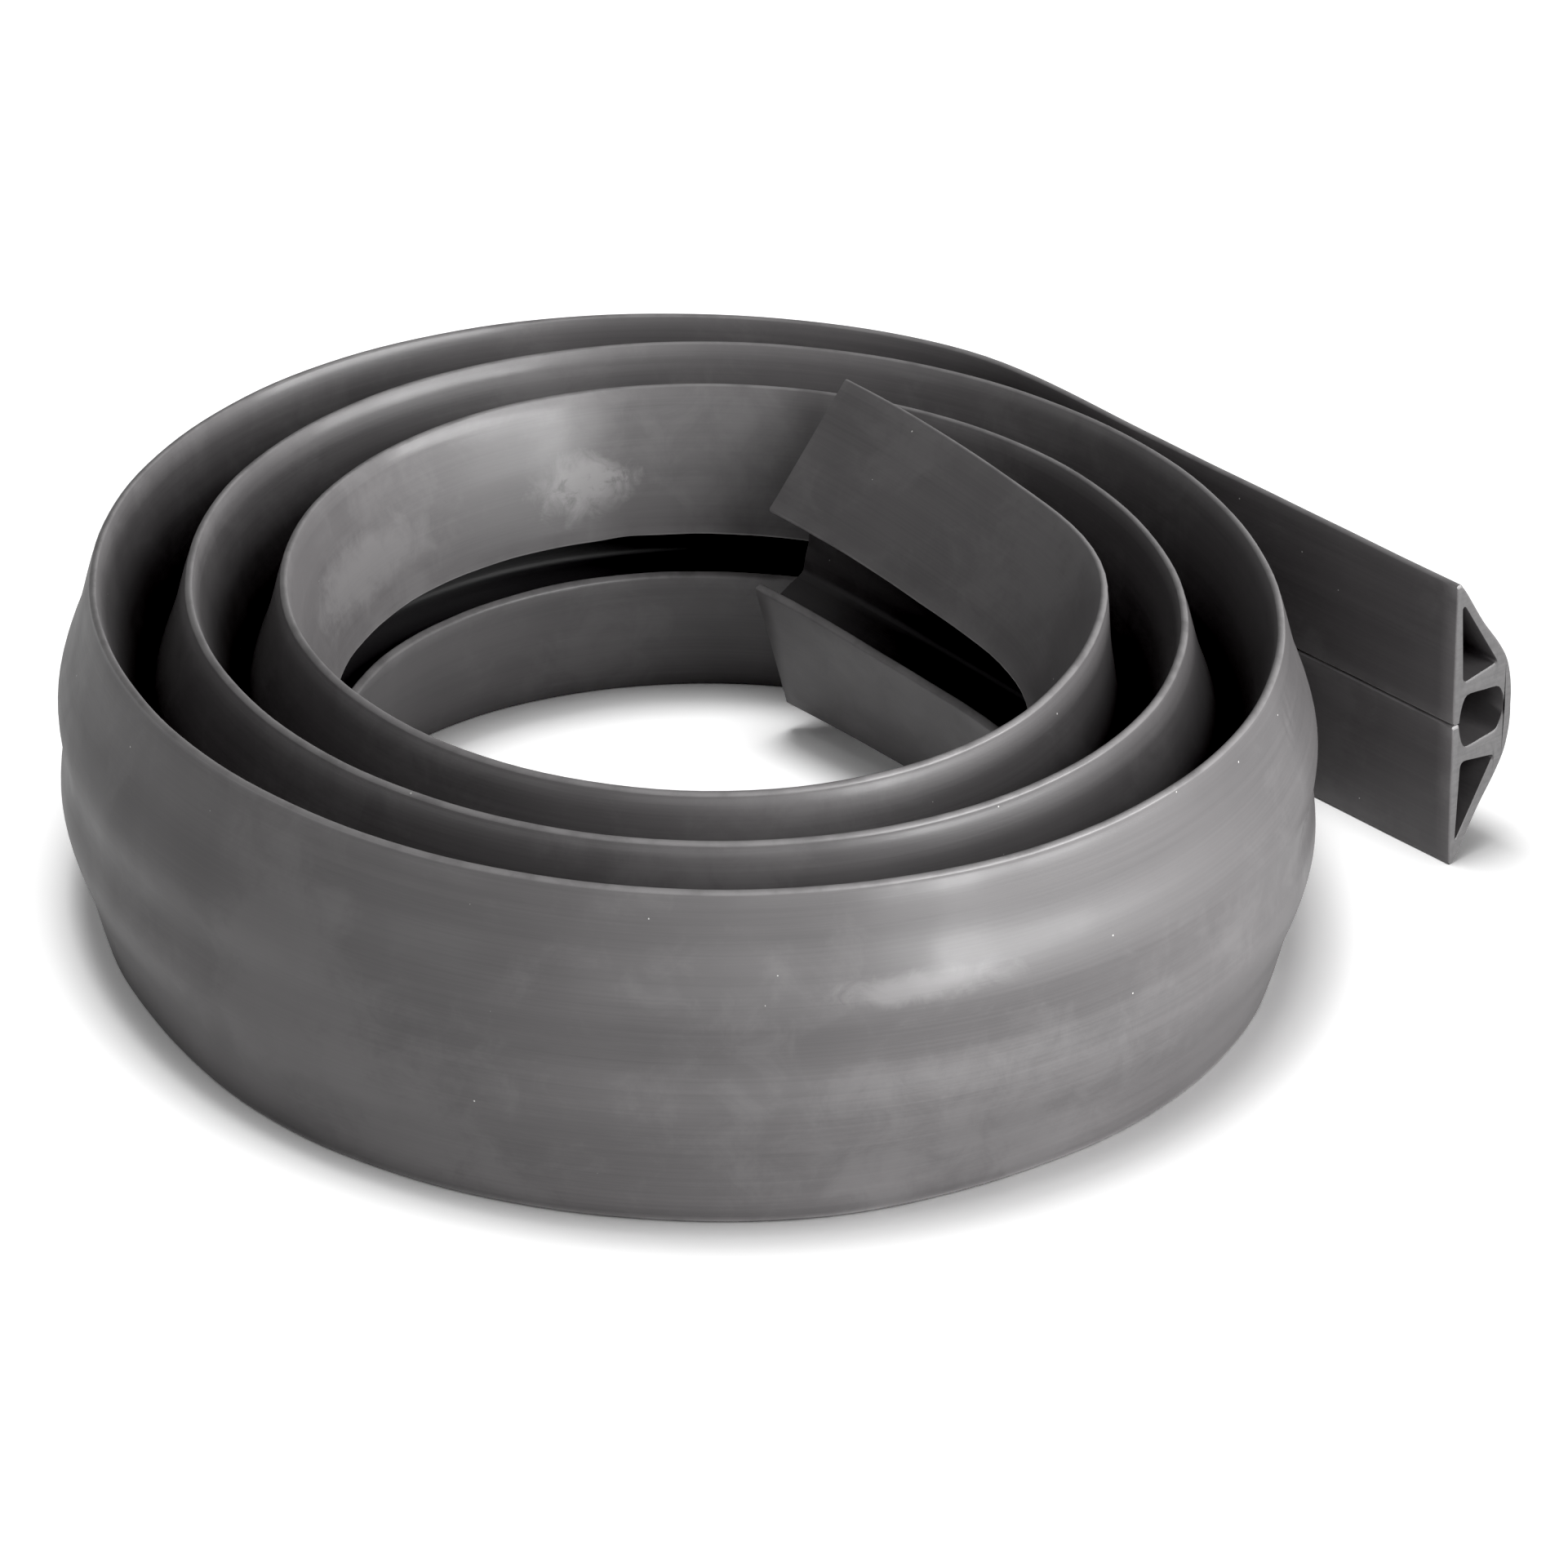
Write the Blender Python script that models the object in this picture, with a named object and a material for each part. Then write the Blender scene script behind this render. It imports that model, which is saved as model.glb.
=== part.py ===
"""Rubber cable raceway: one extruded floor strip with three cable channels, lying coiled on its edge.

The strip is 63.5 mm wide and 16.7 mm thick, with a centre channel that opens through a slit in its flat base and
a closed triangular channel in each wing. It stands on one wing tip in three turns. In the turns the slit gapes,
because each half of the section leans out about the crown. The outer end runs on straight along +X.

Metres, +Z up. The origin is the middle of the part's box at floor height.
"""

import math

import bpy
import numpy as np
from mathutils import Vector
from mathutils.geometry import tessellate_polygon

MM = 0.001

# Section, flat: height from its middle line and depth from its flat base.
STRIP_WIDTH = 63.5 * MM
STRIP_THICKNESS = 16.7 * MM
TIP_FACE = 1.0 * MM
SLIT_HALF_GAP = 0.2 * MM
LIP_THICKNESS = 2.0 * MM
CHANNEL_HALF_HEIGHT = 6.0 * MM
CHANNEL_ROOF = 14.5 * MM
HINGE_DEPTH = 15.6 * MM
HINGE_HALF_HEIGHT = 5.1 * MM

# Coil, seen from above: the spiral that the lower wing tip stands on.
MIDDLE_RADIUS = 103.2 * MM
TURN_PITCH = 19.2 * MM
OVAL = 4.1 * MM
OVAL_FADE_PER_TURN = 0.6 * MM
OVAL_AXIS_DEG = 113.5
OFF_CENTRE = 1.4 * MM
OFF_CENTRE_AXIS_DEG = 75.0
COIL_START_DEG = 62.6
COIL_END_DEG = 1092.0
COIL_MIDDLE_DEG = 600.0
COIL_YAW_DEG = 49.0
TAIL_LENGTH = 136.0 * MM
INNER_END = (-45.2 * MM, 61.8 * MM)
EASING = 31.5 * MM

# Opening, lean and lift along the strip, against the coil's angle.
COIL_OPENING_DEG = 17.0
OPENING_GROWS_DEG = (23.0, 178.0)
END_OPENING_DEG = 13.5
END_OPENING_GROWS_DEG = (1000.0, 1150.0)
FRONT_FLARE_DEG = 5.5
FRONT_FLARE_GROWS_DEG = (200.0, 234.0)
FRONT_FLARE_FADES_DEG = (276.0, 304.0)
END_LEAN_DEG = 13.6
END_LEAN_GROWS_DEG = (1043.0, 1160.0)
END_LIFT = 6.4 * MM
END_LIFT_GROWS_DEG = (1060.0, 1165.0)

# Stations stand at the same angles in every turn, so that the turns' facets run parallel. One is near each side of
# the part's box.
PATH_STEP = 0.6 * MM
STATION_TURN_DEG = 11.25
STATION_PHASE_DEG = 5.0

RUBBER_COLOUR = (0.115, 0.110, 0.112, 1.0)
RUBBER_ROUGHNESS = 0.48


def clear_scene():
    """Removes every object that the file opened with."""
    for obj in list(bpy.data.objects):
        bpy.data.objects.remove(obj, do_unlink=True)


def rise(value, limits):
    """Goes from 0 to 1 between the two limits, level at both."""
    part = np.clip((value - limits[0]) / (limits[1] - limits[0]), 0.0, 1.0)
    return part * part * (3.0 - 2.0 * part)


def half_outline():
    """Upper half of the section from the crown's middle over the wing, the base and the channel to its roof."""
    half = STRIP_WIDTH / 2
    crown = [
        (0.0, STRIP_THICKNESS),
        (2.9 * MM, STRIP_THICKNESS),
        (6.7 * MM, STRIP_THICKNESS - 0.5 * MM),
        (10.7 * MM, STRIP_THICKNESS - 1.7 * MM),
    ]
    wing = [
        (15.2 * MM, 12.3 * MM),
        (21.0 * MM, 8.0 * MM),
        (28.6 * MM, 3.3 * MM),
    ]
    tip = [
        (half - TIP_FACE, 2.2 * TIP_FACE),
        (half, 1.2 * TIP_FACE),
        (half - 0.3 * TIP_FACE, 0.2 * TIP_FACE),
        (half - 0.9 * TIP_FACE, 0.0),
    ]
    lip = [
        (SLIT_HALF_GAP + 0.5 * MM, 0.0),
        (SLIT_HALF_GAP, 0.5 * MM),
        (SLIT_HALF_GAP, LIP_THICKNESS),
    ]
    channel = [
        (3.2 * MM, LIP_THICKNESS + 0.5 * MM),
        (CHANNEL_HALF_HEIGHT - 0.5 * MM, 3.4 * MM),
        (CHANNEL_HALF_HEIGHT, 4.8 * MM),
        (5.5 * MM, 8.9 * MM),
        (5.1 * MM, 12.1 * MM),
        (4.2 * MM, CHANNEL_ROOF - 1.3 * MM),
        (2.2 * MM, CHANNEL_ROOF - 0.4 * MM),
        (0.0, CHANNEL_ROOF),
    ]
    return np.array(crown + wing + tip + lip + channel)


def half_hole():
    """Closed channel in the upper wing: a triangle with its corners eased."""
    return np.array(
        [
            (25.7 * MM, 2.3 * MM),
            (9.8 * MM, 2.9 * MM),
            (9.1 * MM, 3.7 * MM),
            (10.2 * MM, 10.9 * MM),
            (11.0 * MM, 11.7 * MM),
            (12.1 * MM, 11.2 * MM),
        ]
    )


def opened(points, angle):
    """Turns the half section out by the angle. The crown wall bends as an arc, and the rest stays stiff."""
    height, depth = points[:, 0], points[:, 1]
    stiff = (depth < LIP_THICKNESS + 5 * MM) | (height >= HINGE_HALF_HEIGHT)
    bent = np.where(stiff, HINGE_HALF_HEIGHT, height)
    share = (np.arange(40) + 0.5) / 40
    along = angle * rise(bent[:, None] * share, (0.0, HINGE_HALF_HEIGHT))
    middle_height = bent * np.cos(along).mean(axis=1)
    middle_depth = bent * np.sin(along).mean(axis=1)
    turn = angle * rise(bent, (0.0, HINGE_HALF_HEIGHT))
    beyond = np.where(stiff, height - HINGE_HALF_HEIGHT, 0.0)
    off = depth - HINGE_DEPTH
    return np.stack(
        [
            middle_height + beyond * np.cos(turn) - off * np.sin(turn),
            middle_depth + beyond * np.sin(turn) + off * np.cos(turn),
        ],
        axis=1,
    )


def openings(coil_deg):
    """Angles by which the upper and the lower half stand out. The lower one flares at the front of the coil."""
    upper = COIL_OPENING_DEG * rise(coil_deg, OPENING_GROWS_DEG)
    upper += END_OPENING_DEG * rise(coil_deg, END_OPENING_GROWS_DEG)
    flare = FRONT_FLARE_DEG * rise(coil_deg, FRONT_FLARE_GROWS_DEG) * (1 - rise(coil_deg, FRONT_FLARE_FADES_DEG))
    return math.radians(upper), math.radians(upper + flare)


def section(coil_deg):
    """Outline and the two holes, opened, with the lowest point at height 0 and the upper tip at depth 0."""
    upper_angle, lower_angle = openings(coil_deg)
    flip = np.array([-1.0, 1.0])
    upper = opened(half_outline(), upper_angle)
    lower = opened(half_outline(), lower_angle) * flip
    outline = np.concatenate([upper, lower[-2:0:-1]])
    holes = [opened(half_hole(), upper_angle), (opened(half_hole(), lower_angle) * flip)[::-1]]
    seat = np.array([outline[:, 0].min(), upper[np.argmax(upper[:, 0]), 1]])
    return [loop - seat for loop in [outline, *holes]]


def spiral_radius(coil_deg):
    """Radius that falls by one pitch a turn, a little oval and a little off centre."""
    turns = (coil_deg - COIL_MIDDLE_DEG) / 360.0
    oval = (OVAL - OVAL_FADE_PER_TURN * turns) * np.cos(np.radians(2 * (coil_deg - OVAL_AXIS_DEG)))
    shift = OFF_CENTRE * np.cos(np.radians(coil_deg - OFF_CENTRE_AXIS_DEG))
    return MIDDLE_RADIUS - TURN_PITCH * turns + oval + shift


def strip_path():
    """Plan of the strip: points, heading and coil angle from the tail's end to the inner end."""
    coil_deg = np.arange(COIL_START_DEG, COIL_END_DEG, 0.25)
    radius = spiral_radius(coil_deg)
    turned = np.radians(coil_deg + COIL_YAW_DEG)
    coil = np.stack([radius * np.cos(turned), radius * np.sin(turned)], axis=1)
    tail_end = coil[0] + [TAIL_LENGTH, 0.0]
    corners = np.concatenate([[tail_end], coil, [INNER_END]])
    inner_length = np.linalg.norm(corners[-1] - corners[-2])
    tail_deg = COIL_START_DEG - math.degrees(TAIL_LENGTH / radius[0])
    inner_deg = COIL_END_DEG + math.degrees(inner_length / radius[-1])
    angles = np.concatenate([[tail_deg], coil_deg, [inner_deg]])

    run = np.concatenate([[0.0], np.cumsum(np.linalg.norm(np.diff(corners, axis=0), axis=1))])
    steps = np.arange(0.0, run[-1], PATH_STEP)
    points = np.stack([np.interp(steps, run, corners[:, axis]) for axis in (0, 1)], axis=1)
    points = eased(points)
    slope = np.gradient(points, axis=0)
    heading = np.unwrap(np.arctan2(slope[:, 1], slope[:, 0]))
    return points, heading, np.interp(steps, run, angles)


def eased(points):
    """Rounds the two joins with the straight ends by a moving average along the path."""
    reach = round(EASING / PATH_STEP)
    weight = np.hanning(2 * reach + 1)
    weight /= weight.sum()
    before = points[0] - (points[1] - points[0]) * np.arange(reach, 0, -1)[:, None]
    after = points[-1] + (points[-1] - points[-2]) * np.arange(1, reach + 1)[:, None]
    longer = np.concatenate([before, points, after])
    return np.stack([np.convolve(longer[:, axis], weight, "valid") for axis in (0, 1)], axis=1)


def stations(coil_deg):
    """Indices along the path at the stations' angles, with both ends."""
    first = math.ceil((coil_deg[0] - STATION_PHASE_DEG) / STATION_TURN_DEG + 0.2)
    last = math.floor((coil_deg[-1] - STATION_PHASE_DEG) / STATION_TURN_DEG - 0.2)
    wanted = STATION_PHASE_DEG + STATION_TURN_DEG * np.arange(first, last + 1)
    return [0, *np.searchsorted(coil_deg, wanted).tolist(), len(coil_deg) - 1]


def placed(loops, point, heading, coil_deg):
    """The section's loops stood at one station: leaned over, lifted and turned square to the path."""
    lean = math.radians(END_LEAN_DEG) * rise(coil_deg, END_LEAN_GROWS_DEG)
    lift = END_LIFT * rise(coil_deg, END_LIFT_GROWS_DEG)
    outward = np.array([math.sin(heading), -math.cos(heading)])
    stood = []
    for loop in loops:
        height = loop[:, 0] * math.cos(lean) - loop[:, 1] * math.sin(lean)
        out = loop[:, 0] * math.sin(lean) + loop[:, 1] * math.cos(lean)
        stood.append(np.column_stack([point + out[:, None] * outward, height]))
    lowest = min(loop[:, 2].min() for loop in stood)
    return [loop + [0.0, 0.0, lift - lowest] for loop in stood]


def wall_faces(start, size, ring_size, rings, is_hole):
    """Quads between neighbouring stations for one loop of the section. They face into a hole."""
    faces = []
    for ring in range(rings - 1):
        near, far = start + ring * ring_size, start + (ring + 1) * ring_size
        for index in range(size):
            after = (index + 1) % size
            quad = (near + index, near + after, far + after, far + index)
            faces.append(quad if is_hole else quad[::-1])
    return faces


def end_faces(loops, start, facing_back):
    """Triangles that close one end, with the holes left open."""
    flat = [[Vector((*point, 0.0)) for point in loop] for loop in loops]
    corners = np.concatenate(loops)
    faces = []
    for a, b, c in tessellate_polygon(flat):
        side_b, side_c = corners[b] - corners[a], corners[c] - corners[a]
        clockwise = side_b[0] * side_c[1] - side_b[1] * side_c[0] < 0
        order = (a, b, c) if clockwise == facing_back else (a, c, b)
        faces.append(tuple(start + index for index in order))
    return faces


def rubber():
    """Satin grey rubber."""
    material = bpy.data.materials.new("grey_rubber")
    material.use_nodes = True
    shader = material.node_tree.nodes["Principled BSDF"]
    shader.inputs["Base Color"].default_value = RUBBER_COLOUR
    shader.inputs["Roughness"].default_value = RUBBER_ROUGHNESS
    shader.inputs["Metallic"].default_value = 0.0
    return material


def make_raceway():
    """Carries the section along the path and closes its two cut ends."""
    points, heading, coil_deg = strip_path()
    chosen = stations(coil_deg)
    sections = [section(coil_deg[i]) for i in chosen]
    rings = [placed(loops, points[i], heading[i], coil_deg[i]) for loops, i in zip(sections, chosen)]
    ring_size = sum(len(loop) for loop in rings[0])
    corners = np.concatenate([np.concatenate(ring) for ring in rings])
    middle = (corners.min(axis=0) + corners.max(axis=0)) / 2
    corners -= [middle[0], middle[1], 0.0]

    faces = []
    start = 0
    for place, loop in enumerate(rings[0]):
        faces += wall_faces(start, len(loop), ring_size, len(rings), place > 0)
        start += len(loop)
    faces += end_faces(sections[0], 0, True)
    faces += end_faces(sections[-1], ring_size * (len(rings) - 1), False)

    mesh = bpy.data.meshes.new("raceway")
    mesh.from_pydata(corners.tolist(), [], faces)
    mesh.validate()
    mesh.shade_smooth()
    mesh.set_sharp_from_angle(angle=math.radians(35))
    mesh.materials.append(rubber())
    obj = bpy.data.objects.new("raceway", mesh)
    bpy.context.scene.collection.objects.link(obj)
    return obj


clear_scene()
make_raceway()
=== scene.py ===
"""Looks of the coiled rubber cable raceway: its smooth skin, its finish, and a plain studio round it."""

import logging
import math
from dataclasses import dataclass, field
from enum import Enum
from typing import Callable

import bpy
import numpy as np
from mathutils import Euler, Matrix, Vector
from mathutils.geometry import tessellate_polygon


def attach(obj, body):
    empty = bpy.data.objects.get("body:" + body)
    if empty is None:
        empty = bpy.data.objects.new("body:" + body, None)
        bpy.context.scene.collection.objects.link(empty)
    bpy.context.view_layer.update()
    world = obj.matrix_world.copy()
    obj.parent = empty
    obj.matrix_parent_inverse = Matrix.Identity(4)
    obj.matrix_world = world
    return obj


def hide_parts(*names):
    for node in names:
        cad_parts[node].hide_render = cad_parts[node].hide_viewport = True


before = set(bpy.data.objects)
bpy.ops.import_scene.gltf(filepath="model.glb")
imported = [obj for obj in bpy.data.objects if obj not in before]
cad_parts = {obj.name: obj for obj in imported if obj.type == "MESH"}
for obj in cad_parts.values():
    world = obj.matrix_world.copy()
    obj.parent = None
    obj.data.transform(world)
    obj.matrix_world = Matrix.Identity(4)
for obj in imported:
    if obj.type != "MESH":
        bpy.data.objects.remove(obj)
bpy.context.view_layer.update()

LOG = logging.getLogger("raceway")
MM = 0.001
UV_NAME = "along_strip"
EDGE_NAME = "thin_edge"
# Point mask of the painted shade on the channel walls.
CHANNEL_SHADE_NAME = "in_channel"
SEAM_JUMP = 0.25
Pair = tuple[float, float]
Colour = tuple[float, float, float]
Wave = tuple[float, float, float]
Array = np.ndarray
Socket = bpy.types.NodeSocket
Value = Socket | float | tuple[float, ...]
Inputs = dict[int | str, Value]


def direction(azimuth_deg: float, elevation_deg: float) -> Vector:
    """Unit vector to a place round the part.

    Args:
        azimuth_deg: Turn about the part. 0 is in front, towards -Y, and 90 is towards +X.
        elevation_deg: Angle above the floor.

    Returns:
        The vector, from the part to the place.
    """
    azimuth, elevation = math.radians(azimuth_deg), math.radians(elevation_deg)
    level = math.cos(elevation)
    return Vector((math.sin(azimuth) * level, -math.cos(azimuth) * level, math.sin(elevation)))


def grey(value: float) -> tuple[float, ...]:
    """A neutral colour of one value, opaque."""
    return (value, value, value, 1.0)


def linked(name: str, data: bpy.types.ID) -> bpy.types.Object:
    """A new object in the scene that shows a mesh, a light or a camera."""
    shown = bpy.data.objects.new(name, data)
    bpy.context.scene.collection.objects.link(shown)
    return shown


def rise(value: Array, limits: Pair) -> Array:
    """Smooth step: three times the squared share less twice its cube.

    Args:
        value: Where to read the step.
        limits: Where it leaves 0 and where it reaches 1.

    Returns:
        Values from 0 to 1, level at both limits.
    """
    share = np.clip((value - limits[0]) / (limits[1] - limits[0]), 0.0, 1.0)
    return share * share * (3.0 - 2.0 * share)


def smooth_through(points: Array, steps: int) -> Array:
    """Cubic curve through points, whose slope at each point is half the way between its neighbours.

    Args:
        points: Rows of (height, depth). The first and last only steer the slopes.
        steps: Samples for each stretch.

    Returns:
        Samples from the second point to the last but one, with both ends.
    """
    share = (np.arange(steps) / steps)[None, :, None]
    before, start, end, after = (points[i : len(points) - 3 + i, None, :] for i in range(4))
    curve = 0.5 * (
        2 * start
        + (end - before) * share
        + (2 * before - 5 * start + 4 * end - after) * share**2
        + (3 * start - before - 3 * end + after) * share**3
    )
    return np.concatenate([curve.reshape(-1, 2), points[-2:-1]])


def arc(centre: Pair, radii: Pair, degrees: Pair, steps: int) -> Array:
    """Points on part of an ellipse: the centre plus the radii times the cosine and sine.

    Args:
        centre: Height and depth of the centre.
        radii: Radius in height and in depth.
        degrees: First and last angle.
        steps: Number of points.

    Returns:
        Rows of (height, depth).
    """
    turn = np.radians(np.linspace(*degrees, steps))
    return np.stack([centre[0] + radii[0] * np.cos(turn), centre[1] + radii[1] * np.sin(turn)], axis=1)


def rounded(corners: Array, radius: float, steps: int) -> Array:
    """Closed outline with each corner replaced by a parabola between points one radius away.

    Args:
        corners: Rows of (height, depth).
        radius: Distance from a corner to where its rounding starts.
        steps: Points on each rounding.

    Returns:
        The rounded outline.
    """
    before, after = np.roll(corners, 1, axis=0) - corners, np.roll(corners, -1, axis=0) - corners
    start = corners + radius * before / np.linalg.norm(before, axis=1, keepdims=True)
    end = corners + radius * after / np.linalg.norm(after, axis=1, keepdims=True)
    share = np.linspace(0.0, 1.0, steps)[None, :, None]
    curve = (
        start[:, None] * (1 - share) ** 2
        + 2 * corners[:, None] * share * (1 - share)
        + end[:, None] * share**2
    )
    return curve.reshape(-1, 2)


def normals(loop: Array) -> Array:
    """Unit normals of closed loops: the step from one neighbour to the other, turned by a right angle.

    Args:
        loop: Array of station, point and (height, depth).

    Returns:
        One normal for each point, to the left of the way round.
    """
    around = np.roll(loop, -1, axis=1) - np.roll(loop, 1, axis=1)
    around /= np.linalg.norm(around, axis=2, keepdims=True)
    return np.stack([-around[:, :, 1], around[:, :, 0]], axis=2)


@dataclass(frozen=True)
class StripSection:
    """The extruded section, flat: height from its middle line and depth from its flat base.

    The dome, channel and hole are rows of (height, depth) in millimetres. Depth on the dome counts from
    the crown.
    """

    width: float = 63.2 * MM
    thickness: float = 16.7 * MM
    path_depth: float = 1.1 * MM
    slit_half_gap: float = 0.2 * MM
    lip_thickness: float = 2.0 * MM
    lip_round: float = 0.5 * MM
    tip_radii: Pair = (0.55 * MM, 0.8 * MM)
    tip_slope: Pair = (2.0 * MM, -1.0 * MM)
    hole_round: float = 1.3 * MM
    hinge_depth: float = 15.6 * MM
    hinge_half_height: float = 5.1 * MM
    stiff_below: float = 7.0 * MM
    dome_mm: tuple[Pair, ...] = (
        (-2.9, 0.0), (0.0, 0.0), (2.9, 0.0), (6.7, -0.5),
        (10.7, -1.7), (15.2, -4.4), (21.0, -8.7), (28.6, -13.4),
    )
    channel_mm: tuple[Pair, ...] = (
        (0.0, 2.0), (0.7, 2.05), (3.2, 2.5), (5.5, 3.4), (6.0, 4.8), (5.5, 8.9),
        (5.1, 12.1), (4.2, 13.2), (2.2, 14.1), (0.0, 14.5), (-2.2, 14.1),
    )
    hole_mm: tuple[Pair, ...] = ((27.0, 1.9), (8.8, 2.8), (10.4, 12.3))
    dome_steps: int = 4
    tip_points: int = 7
    base_points: int = 11
    lip_points: int = 4
    channel_steps: int = 2
    hole_points: int = 5
    bend_steps: int = 24

    @property
    def tip_centre(self) -> Pair:
        """Centre of the wing's round edge."""
        return self.width / 2 - self.tip_radii[0], self.tip_radii[1]

    def crown_and_wing(self) -> Array:
        """Outer face from the crown's middle to the start of the wing's tip."""
        points = np.array(self.dome_mm) * MM + [0.0, self.thickness]
        tip_start = np.array([self.tip_centre[0], 2 * self.tip_radii[1]])
        guided = np.concatenate([points, [tip_start, tip_start + self.tip_slope]])
        return smooth_through(guided, self.dome_steps)[:-1]

    def tip(self) -> Array:
        """Round edge of the wing."""
        return arc(self.tip_centre, self.tip_radii, (90.0, -90.0), self.tip_points)

    def base(self) -> Array:
        """Flat base from the tip towards the slit."""
        slit_side = self.slit_half_gap + self.lip_round
        heights = np.linspace(self.tip_centre[0], slit_side, self.base_points)[1:-1]
        return np.stack([heights, np.zeros_like(heights)], axis=1)

    def lip(self) -> Array:
        """Edge of the slit, rounded on both sides."""
        centre = (self.slit_half_gap + self.lip_round, self.lip_round)
        outside = arc(centre, (self.lip_round, self.lip_round), (270.0, 180.0), self.lip_points)
        inside = outside[::-1] * [1.0, -1.0] + [0.0, self.lip_thickness]
        return np.concatenate([outside, inside])

    def channel(self) -> Array:
        """Wall of the centre channel from the lip to the middle of its roof."""
        return smooth_through(np.array(self.channel_mm) * MM, self.channel_steps)[1:]

    def half_outline(self) -> Array:
        """Upper half from the crown's middle round to the channel's roof."""
        return np.concatenate([self.crown_and_wing(), self.tip(), self.base(), self.lip(), self.channel()])

    def half_hole(self) -> Array:
        """Closed channel in the upper wing, a triangle with round corners."""
        return rounded(np.array(self.hole_mm) * MM, self.hole_round, self.hole_points)

    def opened(self, points: Array, angle: Array) -> Array:
        """Turns the half section out about the crown by an angle for each station.

        The crown's wall bends: its direction at a height is the angle times a smooth step of that height, and
        its place is the mean of that direction's cosine and sine. The rest of the half stays stiff.

        Args:
            points: Rows of (height, depth).
            angle: One opening angle for each station, in radians.

        Returns:
            Array of station, point and (height, depth).
        """
        height, depth = points[:, 0], points[:, 1]
        stiff = (depth < self.stiff_below) | (height >= self.hinge_half_height)
        bent = np.where(stiff, self.hinge_half_height, height)
        share = (np.arange(self.bend_steps) + 0.5) / self.bend_steps
        step = rise(bent[:, None] * share, (0.0, self.hinge_half_height))
        along = angle[:, None, None] * step[None]
        turn = angle[:, None] * rise(bent, (0.0, self.hinge_half_height))[None]
        beyond = np.where(stiff, height - self.hinge_half_height, 0.0)
        off = depth - self.hinge_depth
        up = bent * np.cos(along).mean(axis=2) + beyond * np.cos(turn) - off * np.sin(turn)
        out = bent * np.sin(along).mean(axis=2) + beyond * np.sin(turn) + off * np.cos(turn)
        return np.stack([up, out], axis=2)


@dataclass(frozen=True)
class CoilRoute:
    """Plan of the strip from the tail's cut end round the coil to the inner end."""

    middle_radius: float = 103.2 * MM
    turn_pitch: float = 19.2 * MM
    oval: float = 4.1 * MM
    oval_fade_per_turn: float = 0.6 * MM
    oval_axis_deg: float = 113.5
    off_centre: float = 1.4 * MM
    off_centre_axis_deg: float = 75.0
    start_deg: float = 62.6
    end_deg: float = 1092.0
    middle_deg: float = 600.0
    yaw_deg: float = 49.0
    tail_length: float = 136.0 * MM
    inner_end: Pair = (-45.2 * MM, 61.8 * MM)
    easing: float = 31.5 * MM
    step: float = 0.6 * MM
    angle_step_deg: float = 0.25

    def radius(self, coil_deg: Array) -> Array:
        """Spiral radius: a pitch less each turn, plus an oval of two lobes and a shift off centre of one."""
        turns = (coil_deg - self.middle_deg) / 360.0
        lobes = np.cos(np.radians(2 * (coil_deg - self.oval_axis_deg)))
        oval = (self.oval - self.oval_fade_per_turn * turns) * lobes
        shift = self.off_centre * np.cos(np.radians(coil_deg - self.off_centre_axis_deg))
        return self.middle_radius - self.turn_pitch * turns + oval + shift

    def eased(self, points: Array) -> Array:
        """Moving average along the path with a raised cosine weight, which rounds the joins with the ends."""
        reach = round(self.easing / self.step)
        weight = np.hanning(2 * reach + 1)
        weight /= weight.sum()
        before = points[0] - (points[1] - points[0]) * np.arange(reach, 0, -1)[:, None]
        after = points[-1] + (points[-1] - points[-2]) * np.arange(1, reach + 1)[:, None]
        longer = np.concatenate([before, points, after])
        return np.stack([np.convolve(longer[:, axis], weight, "valid") for axis in (0, 1)], axis=1)

    def stations(self, runs: Callable[[float], Array]) -> tuple[Array, Array, Array, Array]:
        """Stations along the path.

        Args:
            runs: Gives the wanted runs along the strip from its length.

        Returns:
            Run from the tail's end, plan points, heading and coil angle, one row for each station.
        """
        coil_deg = np.arange(self.start_deg, self.end_deg, self.angle_step_deg)
        radius = self.radius(coil_deg)
        turned = np.radians(coil_deg + self.yaw_deg)
        coil = np.stack([radius * np.cos(turned), radius * np.sin(turned)], axis=1)
        corners = np.concatenate([[coil[0] + [self.tail_length, 0.0]], coil, [self.inner_end]])
        inner_length = np.linalg.norm(corners[-1] - corners[-2])
        tail_deg = self.start_deg - math.degrees(self.tail_length / radius[0])
        inner_deg = self.end_deg + math.degrees(inner_length / radius[-1])
        angles = np.concatenate([[tail_deg], coil_deg, [inner_deg]])
        run = np.concatenate([[0.0], np.cumsum(np.linalg.norm(np.diff(corners, axis=0), axis=1))])
        steps = np.arange(0.0, run[-1], self.step)
        points = self.eased(np.stack([np.interp(steps, run, corners[:, axis]) for axis in (0, 1)], axis=1))
        slope = np.gradient(points, axis=0)
        heading = np.unwrap(np.arctan2(slope[:, 1], slope[:, 0]))
        wanted = runs(steps[-1])
        plan = np.stack([np.interp(wanted, steps, points[:, axis]) for axis in (0, 1)], axis=1)
        return wanted, plan, np.interp(wanted, steps, heading), np.interp(wanted, run, angles)


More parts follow.
